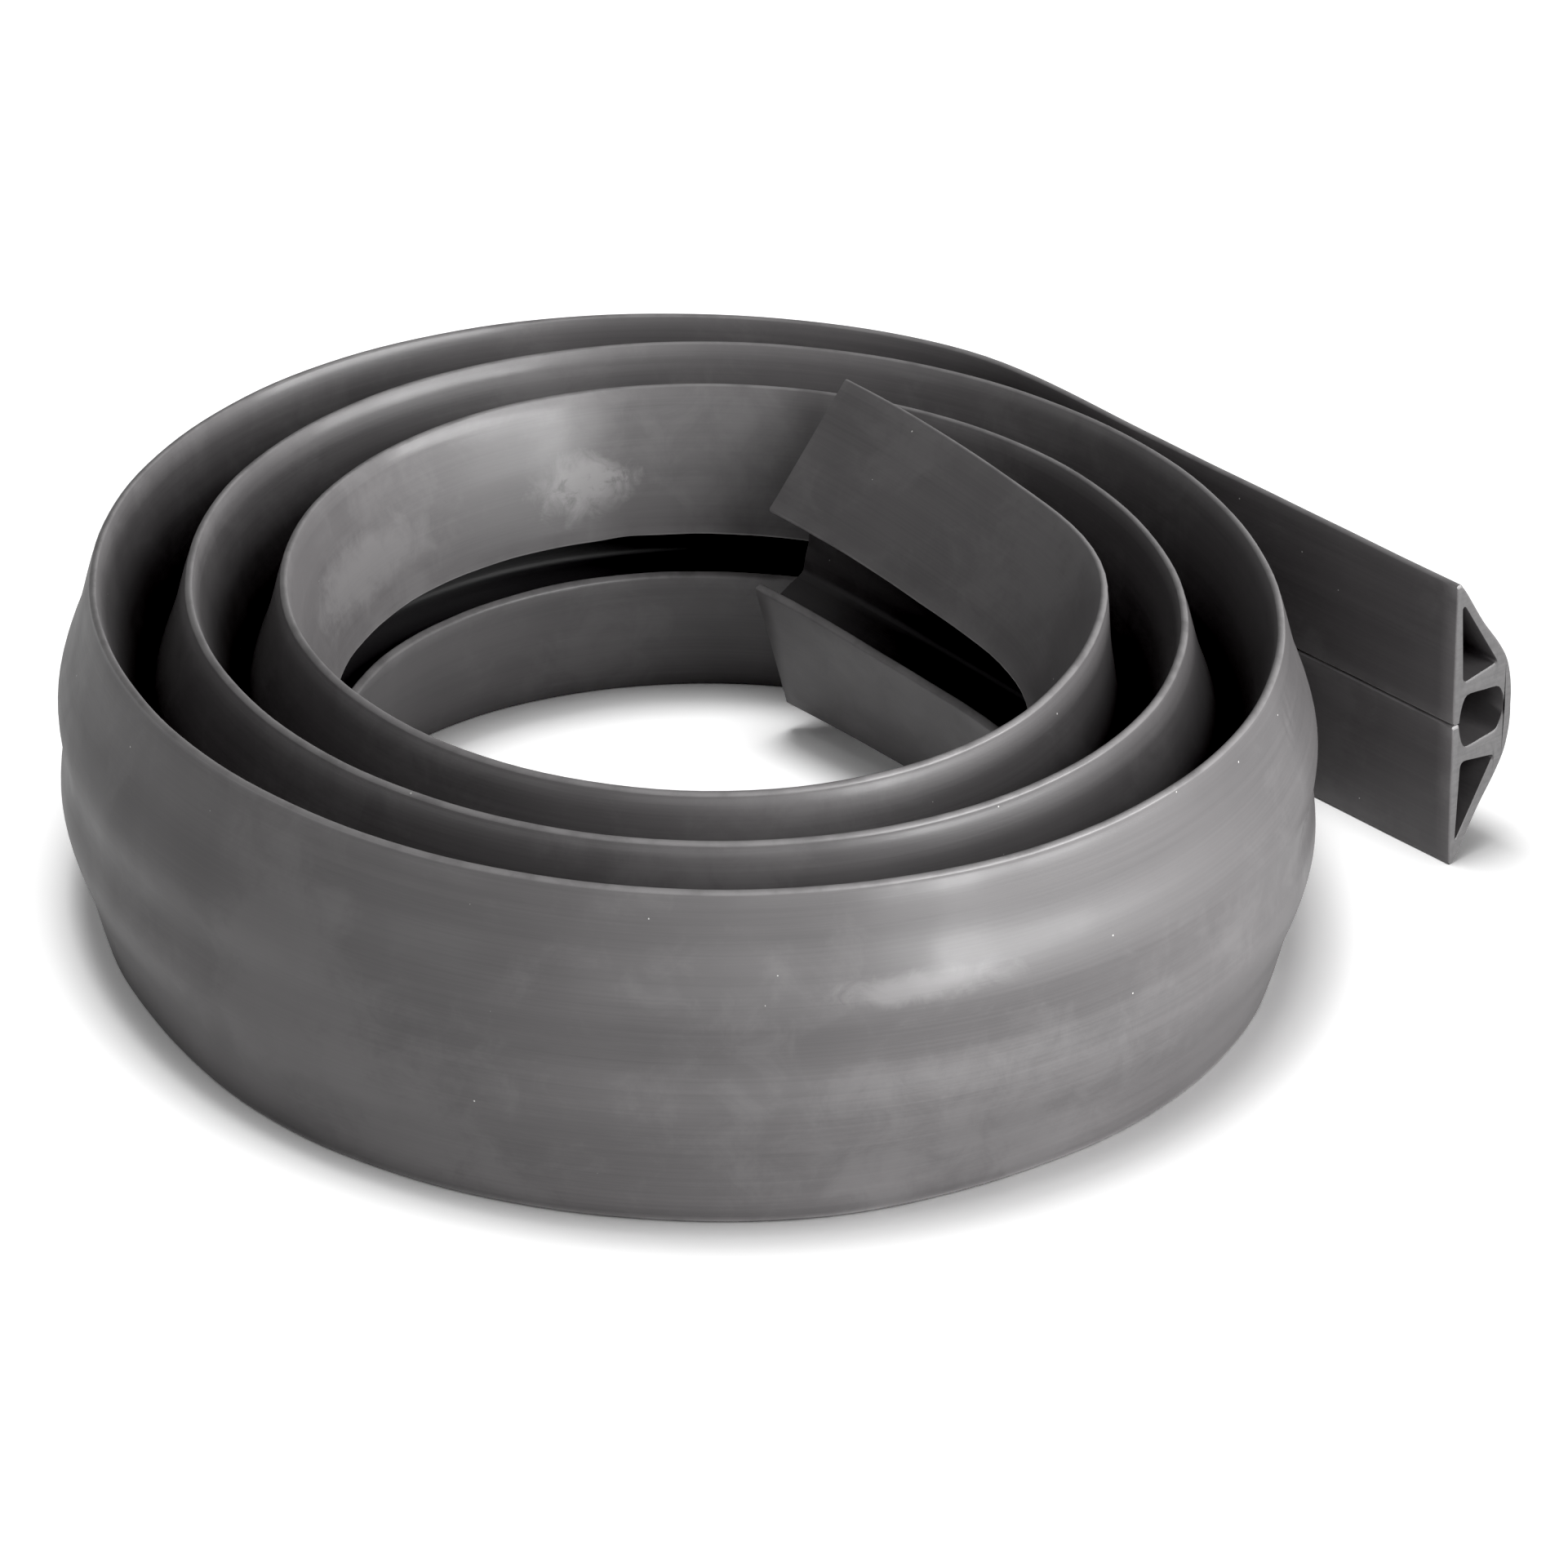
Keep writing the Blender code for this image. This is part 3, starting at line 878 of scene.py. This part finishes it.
@dataclass(frozen=True)
class SkinFinish:
    """Satin grey extruded skin with draw lines, clouds, chalk, pale worn edges and a little dust, with two
    painted highlights in chalk patches, a painted rim highlight on the wing tips and painted shade on the
    channel walls.
    """

    dark: Colour = (0.094, 0.090, 0.092)
    # Colour of the chalk, also used for two painted highlights.
    light: Colour = (0.128, 0.122, 0.124)
    chalk_and_highlight: Colour = (0.300, 0.292, 0.294)
    # Pale wear on the thin edges, and on the wing tips a painted rim highlight.
    worn_and_rim_highlight: Colour = (0.260, 0.252, 0.254)
    dust: Colour = (0.620, 0.610, 0.600)
    # Painted shade on the channel walls.
    shaded: Colour = (0.026, 0.025, 0.026)
    # UV centre, reach and strength of three chalk patches: the first is a chalk smear, the second a painted
    # highlight on the inner face and the third a painted highlight on the crown.
    chalk_and_highlight_patches: tuple[tuple[Pair, Pair, float], ...] = (
        ((1.6950, 0.0560), (0.044, 0.011), 0.30),
        ((1.6290, 0.0560), (0.017, 0.010), 0.95),
        ((0.6330, 0.0150), (0.026, 0.0045), 0.40),
    )
    bloom_strength: float = 0.13
    roughness: float = 0.43
    tone_roughness: float = 0.12
    chalk_roughness: float = 0.22
    coat_roughness: float = 0.2
    bump_height: float = 0.05 * MM
    bump_strength: float = 0.5

    def material(self) -> bpy.types.Material:
        """The finish as a node material, whose masks feed colour, roughness, coat weight and bump."""
        material, sheet = new_material("satin_rubber_skin")
        uv = sheet.add("ShaderNodeUVMap", uv_map=UV_NAME).outputs["UV"]
        place = sheet.add("ShaderNodeTexCoord").outputs["Object"]
        masks = [sheet.add("ShaderNodeAttribute", attribute_name=name) for name in (EDGE_NAME, CHANNEL_SHADE_NAME)]
        edge, channel_shade = (mask.outputs["Fac"] for mask in masks)

        fine = Effect.DRAW_STREAKS.place(sheet, vector=uv, along=14.0, across=1900.0)
        broad = Effect.DRAW_STREAKS.place(sheet, vector=uv, along=5.0, across=210.0)
        clouds = sheet.step(sheet.noise(place, scale=26.0, detail=3.0, roughness=0.55), start=0.3, end=0.7)
        chalk_and_highlight = self.chalk_and_highlight_mask(sheet, uv, place)
        specks = Effect.DUST_SPECKS.place(sheet, vector=place, scale=380.0, size=0.075, share=0.05)
        # Pale wear on the thin edges; on the wing tips it is also a painted rim highlight.
        wear_and_rim_highlight = sheet.noise(uv, scale=120.0, detail=4.0, roughness=0.6)
        wear_and_rim_highlight = sheet.math("MULTIPLY", edge, sheet.step(wear_and_rim_highlight, start=0.3, end=0.6, low=0.35, high=0.8))

        tone = sheet.weighted((clouds, 0.4), (broad, 0.3), (fine, 0.3))
        colour = sheet.blend(tone, (*self.dark, 1.0), (*self.light, 1.0))
        # Over the tone: chalk with two painted highlights, pale wear with a painted rim highlight on the
        # tips, dust, and painted shade on the channel walls.
        layers = (chalk_and_highlight, self.chalk_and_highlight), (wear_and_rim_highlight, self.worn_and_rim_highlight), (specks, self.dust), (channel_shade, self.shaded)
        for mask, over in layers:
            colour = sheet.blend(mask, colour, (*over, 1.0))
        rough = sheet.math("MULTIPLY_ADD", tone, self.tone_roughness, self.roughness)
        rough = sheet.math("MULTIPLY_ADD", sheet.math("MAXIMUM", chalk_and_highlight, specks), self.chalk_roughness, rough)
        gloss = sheet.noise(place, scale=55.0, detail=5.0, roughness=0.6, distortion=0.4)
        gloss = sheet.step(gloss, start=0.25, end=0.75, low=0.18, high=0.42)
        gloss = sheet.math("MULTIPLY", gloss, sheet.math("SUBTRACT", 1.0, channel_shade))
        grain = sheet.noise(place, scale=900.0, detail=2.0, roughness=0.5)
        height = sheet.weighted((grain, 0.15), (broad, 0.9), (fine, 0.12))
        normal = sheet.bump(height, self.bump_height, self.bump_strength)

        found = {"Base Color": colour, "Roughness": rough, "Coat Weight": gloss, "Normal": normal}
        found["Coat Roughness"] = self.coat_roughness
        sheet.feed(sheet.tree.nodes["Principled BSDF"], found)
        return material

    def chalk_and_highlight_mask(self, sheet: NodeSheet, uv: Socket, place: Socket) -> Socket:
        """Mask of the chalk and two painted highlights: thin chalk clouds over the whole skin, and thicker at
        listed places of the UV, the second and third being painted highlights.
        """
        bloom = Effect.CHALK_BLOOM.place(sheet, vector=place, scale=21.0, cover=0.35)
        clumps = Effect.CHALK_BLOOM.place(sheet, vector=place, scale=60.0, cover=0.9)
        chalk_and_highlight = sheet.math("MULTIPLY", bloom, self.bloom_strength)
        for centre, reach, strength in self.chalk_and_highlight_patches:
            patch = Effect.CHALK_AND_HIGHLIGHT_PATCH.place(sheet, vector=uv, centre=(*centre, 0.0), reach=(*reach, 1.0))
            patch = sheet.math("MULTIPLY", sheet.math("MULTIPLY", patch, clumps), strength)
            chalk_and_highlight = sheet.math("MAXIMUM", chalk_and_highlight, patch)
        return chalk_and_highlight


@dataclass(frozen=True)
class SawnFinish:
    """Cut ends: matt darker rubber with faint saw lines and a little dust."""

    dark: Colour = (0.082, 0.080, 0.081)
    light: Colour = (0.112, 0.109, 0.110)
    dust: Colour = (0.45, 0.44, 0.43)
    line_scale: tuple[float, float, float] = (60.0, 60.0, 1500.0)
    roughness: float = 0.7
    bump_height: float = 0.04 * MM
    bump_strength: float = 0.6

    def material(self) -> bpy.types.Material:
        """The finish as a node material."""
        material, sheet = new_material("sawn_rubber")
        place = sheet.add("ShaderNodeTexCoord").outputs["Object"]
        across = sheet.add("ShaderNodeMapping", {"Vector": place, "Scale": self.line_scale}).outputs[0]
        lines = sheet.step(sheet.noise(across, scale=1.0, detail=3.0, roughness=0.6), start=0.3, end=0.7)
        grain = sheet.step(sheet.noise(place, scale=700.0, detail=4.0, roughness=0.6), start=0.3, end=0.7)
        specks = Effect.DUST_SPECKS.place(sheet, vector=place, scale=420.0, size=0.2, share=0.05)
        tone = sheet.weighted((lines, 0.5), (grain, 0.5))
        colour = sheet.blend(tone, (*self.dark, 1.0), (*self.light, 1.0))
        colour = sheet.blend(specks, colour, (*self.dust, 1.0))
        normal = sheet.bump(tone, self.bump_height, self.bump_strength)
        found = {"Base Color": colour, "Normal": normal, "Roughness": self.roughness}
        sheet.feed(sheet.tree.nodes["Principled BSDF"], found)
        return material


@dataclass(frozen=True)
class StudioCamera:
    """The camera at the photograph's viewing angle. Pixels are in the photograph's frame."""

    image_px: float = 1921.0
    focal_px: float = 12000.0
    azimuth_deg: float = 49.0
    elevation_deg: float = 29.0
    distance: float = 1.964
    coil_centre_px: Pair = (867.4, 1105.1)
    sensor_mm: float = 36.0
    clip: Pair = (0.05, 50.0)

    def place(self, coil_centre: Vector) -> None:
        """Aims the camera so that the coil's centre on the floor lands on its pixel."""
        azimuth, elevation = math.radians(self.azimuth_deg), math.radians(self.elevation_deg)
        right_px, down_px = (pixel - self.image_px / 2 for pixel in self.coil_centre_px)
        pitch = elevation - math.atan(down_px / self.focal_px)
        yaw = azimuth + math.atan(right_px / self.focal_px / math.cos(pitch))
        data = bpy.data.cameras.new("studio_camera")
        data.sensor_width = self.sensor_mm
        data.lens = self.sensor_mm * self.focal_px / self.image_px
        data.clip_start, data.clip_end = self.clip
        camera = linked("studio_camera", data)
        camera.location = coil_centre + direction(self.azimuth_deg, self.elevation_deg) * self.distance
        camera.rotation_euler = Euler((math.pi / 2 - pitch, 0.0, yaw), "XYZ")
        bpy.context.scene.camera = camera


@dataclass(frozen=True)
class SoftBox:
    """A studio light, placed round the coil by angles from the camera. Lengths in metres, power in watts."""

    name: str
    turn_deg: float
    elevation_deg: float
    distance: float
    width: float
    height: float
    power: float
    lights_floor: bool = False

    def place(self, camera_azimuth_deg: float, target: Vector, lit_object: bpy.types.Object) -> None:
        """Puts the light up, facing the target. It lights one object, and every object casts its shadow.

        Args:
            camera_azimuth_deg: The camera's azimuth, from which the light's turn counts.
            target: The point that it faces.
            lit_object: The object that it lights.
        """
        back = direction(camera_azimuth_deg + self.turn_deg, self.elevation_deg)
        data = bpy.data.lights.new(self.name, "AREA")
        data.shape, data.size, data.size_y, data.energy = "RECTANGLE", self.width, self.height, self.power
        light = linked(self.name, data)
        light.location = target + back * self.distance
        light.rotation_mode = "QUATERNION"
        light.rotation_quaternion = back.to_track_quat("Z", "Y")
        lit = bpy.data.collections.new(f"lit_by_{self.name}")
        lit.objects.link(lit_object)
        light.light_linking.receiver_collection = lit


@dataclass
class Studio:
    """Pale floor, soft light and camera."""

    camera: StudioCamera = StudioCamera()
    floor_half: float = 6.0
    aim_height: float = 30.0 * MM
    floor_bounce: float = 0.62
    floor_seen: float = 1.3
    world_strength: float = 0.30
    black_level: float = 0.008
    lights: tuple[SoftBox, ...] = (
        SoftBox("right_bank", 66.0, 11.0, 1.9, 2.0, 0.5, 38.0),
        SoftBox("high_right_bank", 55.0, 32.0, 1.9, 1.5, 1.2, 24.0),
        SoftBox("key_softbox", 38.0, 5.0, 1.9, 0.7, 0.3, 6.0),
        SoftBox("front_bank", -5.0, 7.0, 1.9, 1.4, 0.35, 3.0),
        SoftBox("left_bank", -70.0, 9.0, 1.9, 1.9, 0.45, 3.0),
        SoftBox("wide_floor_softbox", 0.0, 88.0, 2.0, 1.0, 1.0, 17.0, lights_floor=True),
        SoftBox("small_floor_softbox", -140.0, 83.0, 2.0, 0.6, 0.6, 13.0, lights_floor=True),
    )

    def floor(self) -> bpy.types.Object:
        """Pale floor at the coil's foot. The camera sees it overexposed, and it sends less light back."""
        half = self.floor_half
        mesh = bpy.data.meshes.new("studio_floor")
        corners = [(-half, -half, 0.0), (half, -half, 0.0), (half, half, 0.0), (-half, half, 0.0)]
        mesh.from_pydata(corners, [], [(0, 1, 2, 3)])
        material, sheet = new_material("pale_floor")
        sheet.tree.nodes.clear()
        seen = sheet.add("ShaderNodeLightPath").outputs["Is Camera Ray"]
        tone = sheet.blend(seen, grey(self.floor_bounce), grey(self.floor_seen))
        matt = sheet.add("ShaderNodeBsdfDiffuse", {"Color": tone}).outputs[0]
        sheet.add("ShaderNodeOutputMaterial", {"Surface": matt})
        mesh.materials.append(material)
        return linked("studio_floor", mesh)

    def build(self, strip: bpy.types.Object, coil_centre: Vector) -> None:
        """Sets up the studio round the strip, whose spiral has its middle at the coil's centre."""
        floor = self.floor()
        world = bpy.data.worlds.new("studio_world")
        world.use_nodes = True
        background = world.node_tree.nodes["Background"]
        background.inputs["Color"].default_value = grey(1.0)
        background.inputs["Strength"].default_value = self.world_strength
        bpy.context.scene.world = world
        target = coil_centre + Vector((0.0, 0.0, self.aim_height))
        for light in self.lights:
            light.place(self.camera.azimuth_deg, target, floor if light.lights_floor else strip)
        self.camera.place(coil_centre)
        self.set_tones()
        LOG.info("studio: %d lights", len(self.lights))

    def set_tones(self) -> None:
        """Plain tones with a small black level, as in the photo's deep gaps."""
        view = bpy.context.scene.view_settings
        view.view_transform = "Standard"
        view.use_curve_mapping = True
        view.curve_mapping.black_level = (self.black_level,) * 3
        view.curve_mapping.update()


def main() -> None:
    """Builds the strip and the studio."""
    logging.basicConfig(level=logging.INFO, format="%(message)s")
    raceway = RacewayStrip()
    strip = raceway.build()
    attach(strip, "root")
    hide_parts("raceway")
    Studio().build(strip, Vector(raceway.centre_shift))
    bpy.context.view_layer.update()


if __name__ == "__main__":
    main()
